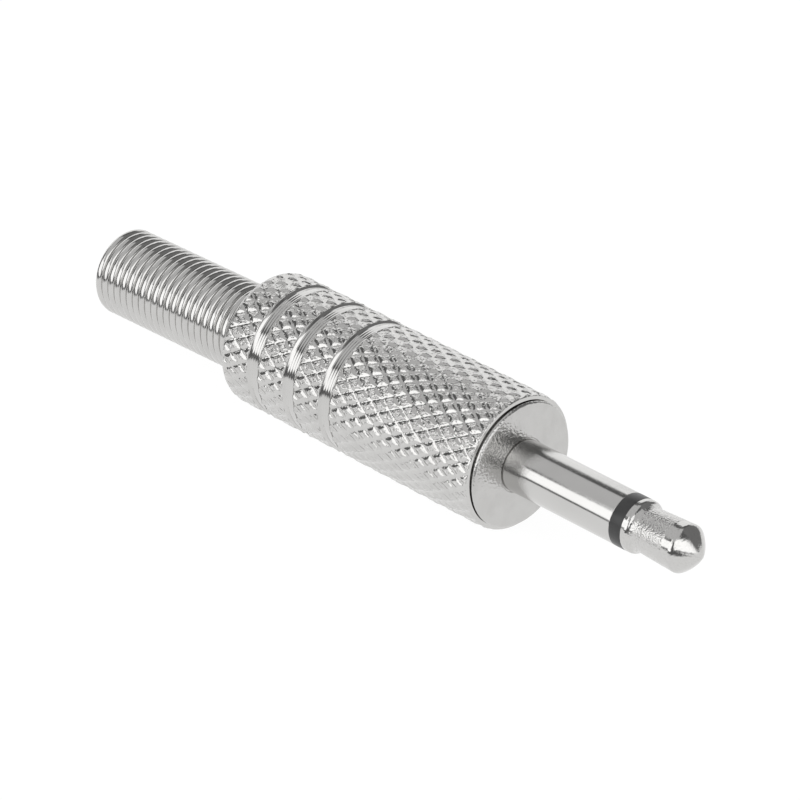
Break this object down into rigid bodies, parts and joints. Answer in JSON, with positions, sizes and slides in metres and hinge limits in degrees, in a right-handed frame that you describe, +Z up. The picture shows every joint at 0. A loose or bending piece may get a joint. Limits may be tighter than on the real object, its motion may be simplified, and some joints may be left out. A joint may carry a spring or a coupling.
{
  "type": "mono jack plug",
  "caption": "Cable-end mono jack plug: stepped round pin with insulating ring, knurled screw-on metal shell, flange and coil-spring strain relief.",
  "frame": {"origin": "centre of the flange's front face, where the pin leaves it", "axes": "+X along the pin towards its nose, +Z up as the plug lies in the picture"},
  "size_m": [0.052, 0.0092, 0.0092],
  "materials": {
    "nickel": "bright nickel plate over a rolled diamond knurl",
    "spring_wire": "bright nickel-plated spring wire",
    "clear_plastic": "clear soft plastic tube",
    "satin_nickel": "nickel plate with a fine grain",
    "polished_nickel": "mirror-bright nickel plate",
    "black_plastic": "black moulded plastic with a soft sheen",
    "tip_nickel": "nickel plate with fine turning marks",
    "tinned_brass": "tinned sheet brass",
    "hard_fibre": "brown hard fibre"
  },
  "bodies": {
    "plug": {"flange_body": "satin_nickel", "sleeve_barrel": "polished_nickel", "tip_insulator": "black_plastic", "tip_contact": "tip_nickel", "sleeve_lug": "tinned_brass", "rear_insulator": "hard_fibre", "tip_lug": "tinned_brass"},
    "spring": {"strain_relief_spring": "spring_wire"},
    "shell": {"shell": "nickel", "insulating_liner": "clear_plastic"}
  },
  "joints": [
    {"name": "spring_slide", "type": "slide", "parent": "plug", "child": "spring", "axis": [-1, 0, 0], "range_m": [0, 0.004]},
    {"name": "shell_turn", "type": "hinge", "parent": "spring", "child": "shell", "pos_m": [0, 0, 0], "axis": [-1, 0, 0], "range_deg": [0, 2880]}
  ],
  "couplings": [
    {"joint": "shell_turn", "follows": "spring_slide", "rad_per_m": 12566}
  ]
}
